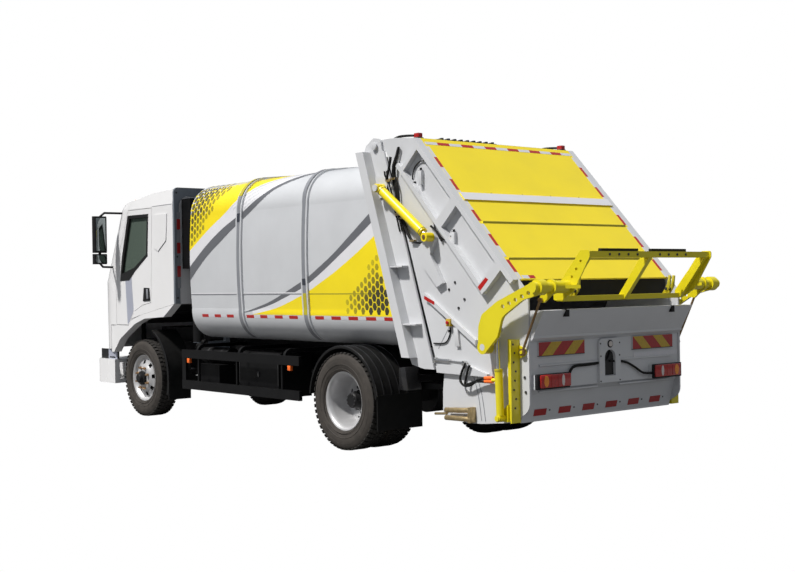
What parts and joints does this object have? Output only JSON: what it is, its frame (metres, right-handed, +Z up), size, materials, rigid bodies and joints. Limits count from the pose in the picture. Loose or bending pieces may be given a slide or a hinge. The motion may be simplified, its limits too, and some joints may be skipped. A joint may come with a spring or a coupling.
{
  "type": "rear-loading garbage truck",
  "caption": "Rear-loading refuse truck with a rounded compactor body, hinged tailgate with sloped yellow back, bin lifter on bent arms, tilting cab, steered front wheels and twin rear wheels.",
  "frame": {"origin": "centre of the footprint, on the ground", "axes": "+Z up, +X to the vehicle's left, the cab faces -Y and the tailgate +Y"},
  "size_m": [2.904, 8.73, 3.1211],
  "materials": {
    "chassis_black": "satin",
    "body_white": "gloss",
    "yellow": "gloss",
    "grey_panel": "satin",
    "cab_white": "gloss",
    "tyre": "matt",
    "rim": "satin",
    "rubber": "matt",
    "chrome_rod": "polished",
    "brass_plate": "satin",
    "interior": "matt",
    "steel_dark": "rough"
  },
  "bodies": {
    "chassis": {"frame_rails": "chassis_black", "cross_members": "chassis_black", "axles": "steel_dark", "leaf_springs": "steel_dark", "driveline": "steel_dark", "tanks": "chassis_black", "side_guards": "chassis_black", "bumper": "cab_white", "bumper_corners": "cab_white", "front_mudguards": "rubber", "rear_mudguards": "rubber", "intake": "grey_panel", "body_floor": "body_white", "body_sides": "body_white", "body_roof": "body_white", "body_front": "body_white", "portal": "body_white"},
    "cab": {"cab_roof": "cab_white", "cab_back": "cab_white", "cab_front": "cab_white", "cab_sides": "cab_white", "cab_floor": "cab_white", "cab_fenders": "cab_white", "cab_interior": "interior", "mirrors": "interior"},
    "steering_wheel": {"steering_wheel": "interior"},
    "door_left": {"door_left": "cab_white"},
    "door_right": {"door_right": "cab_white"},
    "tailgate": {"tailgate_sides": "body_white", "tailgate_cover": "yellow", "hopper": "body_white", "tailgate_rear": "body_white", "lifter_mounts": "yellow"},
    "carriage": {"carriage": "steel_dark"},
    "packer_blade": {"packer_blade": "steel_dark"},
    "lifter_arms": {"lifter_arms": "yellow"},
    "grab_frame": {"grab_frame": "yellow"},
    "steer_left": {"knuckle_left": "steel_dark"},
    "front_wheel_left": {"front_tyre_left": "tyre", "front_rim_left": "rim"},
    "rear_wheels_left": {"rear_tyres_left": "tyre", "rear_rim_left": "rim"},
    "lift_barrel_left": {"lift_barrel_left": "yellow"},
    "lift_rod_left": {"lift_rod_left": "chrome_rod"},
    "lifter_barrel_left": {"lifter_barrel_left": "yellow"},
    "lifter_rod_left": {"lifter_rod_left": "chrome_rod"},
    "lifter_link_left": {"lifter_link_left": "brass_plate"},
    "steer_right": {"knuckle_right": "steel_dark"},
    "front_wheel_right": {"front_tyre_right": "tyre", "front_rim_right": "rim"},
    "rear_wheels_right": {"rear_tyres_right": "tyre", "rear_rim_right": "rim"},
    "lift_barrel_right": {"lift_barrel_right": "yellow"},
    "lift_rod_right": {"lift_rod_right": "chrome_rod"},
    "lifter_barrel_right": {"lifter_barrel_right": "yellow"},
    "lifter_rod_right": {"lifter_rod_right": "chrome_rod"},
    "lifter_link_right": {"lifter_link_right": "brass_plate"}
  },
  "joints": [
    {"name": "steer_left", "type": "hinge", "parent": "chassis", "child": "steer_left", "pos_m": [0.735, -3.085, 0.5], "axis": [0, 0, 1], "range_deg": [-35, 35]},
    {"name": "steer_right", "type": "hinge", "parent": "chassis", "child": "steer_right", "pos_m": [-0.735, -3.085, 0.5], "axis": [0, 0, 1], "range_deg": [-35, 35]},
    {"name": "front_wheel_left", "type": "hinge", "parent": "steer_left", "child": "front_wheel_left", "pos_m": [0.915, -3.085, 0.5], "axis": [1, 0, 0], "continuous": true},
    {"name": "rear_wheels_left", "type": "hinge", "parent": "chassis", "child": "rear_wheels_left", "pos_m": [1.112, 1.415, 0.5], "axis": [1, 0, 0], "continuous": true},
    {"name": "front_wheel_right", "type": "hinge", "parent": "steer_right", "child": "front_wheel_right", "pos_m": [-0.915, -3.085, 0.5], "axis": [1, 0, 0], "continuous": true},
    {"name": "rear_wheels_right", "type": "hinge", "parent": "chassis", "child": "rear_wheels_right", "pos_m": [-1.112, 1.415, 0.5], "axis": [1, 0, 0], "continuous": true},
    {"name": "cab_tilt", "type": "hinge", "parent": "chassis", "child": "cab", "pos_m": [0, -4.215, 0.64], "axis": [1, 0, 0], "range_deg": [0, 45]},
    {"name": "steering_wheel", "type": "hinge", "parent": "cab", "child": "steering_wheel", "pos_m": [0.52, -3.645, 1.85], "axis": [0, 0.5446, 0.8387], "range_deg": [-355, 355]},
    {"name": "door_left", "type": "hinge", "parent": "cab", "child": "door_left", "pos_m": [1.122, -3.633, 1.6], "axis": [0, 0, -1], "range_deg": [0, 65]},
    {"name": "door_right", "type": "hinge", "parent": "cab", "child": "door_right", "pos_m": [-1.122, -3.633, 1.6], "axis": [0, 0, 1], "range_deg": [0, 65]},
    {"name": "tailgate", "type": "hinge", "parent": "chassis", "child": "tailgate", "pos_m": [0, 1.826, 3.04], "axis": [1, 0, 0], "range_deg": [0, 85]},
    {"name": "lift_barrel_left", "type": "hinge", "parent": "chassis", "child": "lift_barrel_left", "pos_m": [1.16, 1.956, 2.614], "axis": [1, 0, 0], "range_deg": [-0.5, 89.78]},
    {"name": "lift_rod_left", "type": "slide", "parent": "lift_barrel_left", "child": "lift_rod_left", "axis": [0, 0.8098, -0.5867], "range_m": [-0.001, 0.597]},
    {"name": "lift_barrel_right", "type": "hinge", "parent": "chassis", "child": "lift_barrel_right", "pos_m": [-1.16, 1.956, 2.614], "axis": [1, 0, 0], "range_deg": [-0.5, 89.78]},
    {"name": "lift_rod_right", "type": "slide", "parent": "lift_barrel_right", "child": "lift_rod_right", "axis": [0, 0.8098, -0.5867], "range_m": [-0.001, 0.597]},
    {"name": "lifter_arms", "type": "hinge", "parent": "tailgate", "child": "lifter_arms", "pos_m": [0, 3.415, 1.104], "axis": [-1, 0, 0], "range_deg": [0, 80]},
    {"name": "grab_frame", "type": "hinge", "parent": "lifter_arms", "child": "grab_frame", "pos_m": [0, 4.105, 1.63], "axis": [-1, 0, 0], "range_deg": [-0.5, 70.65]},
    {"name": "lifter_barrel_left", "type": "hinge", "parent": "tailgate", "child": "lifter_barrel_left", "pos_m": [1.14, 3.555, 0.48], "axis": [-1, 0, 0], "range_deg": [-0.5, 6.11]},
    {"name": "lifter_rod_left", "type": "slide", "parent": "lifter_barrel_left", "child": "lifter_rod_left", "axis": [0, -0.0345, 0.9994], "range_m": [-0.2414, 0.001]},
    {"name": "lifter_link_left", "type": "hinge", "parent": "tailgate", "child": "lifter_link_left", "pos_m": [1.092, 3.785, 1.067], "axis": [-1, 0, 0], "range_deg": [-0.5, 96.5]},
    {"name": "lifter_barrel_right", "type": "hinge", "parent": "tailgate", "child": "lifter_barrel_right", "pos_m": [-1.14, 3.555, 0.48], "axis": [-1, 0, 0], "range_deg": [-0.5, 6.11]},
    {"name": "lifter_rod_right", "type": "slide", "parent": "lifter_barrel_right", "child": "lifter_rod_right", "axis": [0, -0.0345, 0.9994], "range_m": [-0.2414, 0.001]},
    {"name": "lifter_link_right", "type": "hinge", "parent": "tailgate", "child": "lifter_link_right", "pos_m": [-1.092, 3.785, 1.067], "axis": [-1, 0, 0], "range_deg": [-0.5, 96.5]},
    {"name": "carriage", "type": "slide", "parent": "tailgate", "child": "carriage", "axis": [0, 0.6843, -0.7292], "range_m": [0, 0.5]},
    {"name": "packer_blade", "type": "hinge", "parent": "carriage", "child": "packer_blade", "pos_m": [0, 3.072, 1.801], "axis": [1, 0, 0], "range_deg": [0, 70]}
  ],
  "couplings": [
    {"joint": "steer_right", "follows": "steer_left", "ratio": 1},
    {"joint": "steering_wheel", "follows": "steer_left", "ratio": 10},
    {"joint": "lift_barrel_left", "follows": "tailgate", "ratio": 1.0503},
    {"joint": "lift_rod_left", "follows": "tailgate", "m_per_rad": 0.40173},
    {"joint": "lift_barrel_right", "follows": "tailgate", "ratio": 1.0503},
    {"joint": "lift_rod_right", "follows": "tailgate", "m_per_rad": 0.40173},
    {"joint": "grab_frame", "follows": "lifter_arms", "ratio": 0.87688},
    {"joint": "lifter_barrel_left", "follows": "lifter_arms", "ratio": 0.070099},
    {"joint": "lifter_rod_left", "follows": "lifter_arms", "m_per_rad": -0.17218},
    {"joint": "lifter_link_left", "follows": "lifter_arms", "ratio": 1.2},
    {"joint": "lifter_barrel_right", "follows": "lifter_arms", "ratio": 0.070099},
    {"joint": "lifter_rod_right", "follows": "lifter_arms", "m_per_rad": -0.17218},
    {"joint": "lifter_link_right", "follows": "lifter_arms", "ratio": 1.2}
  ]
}
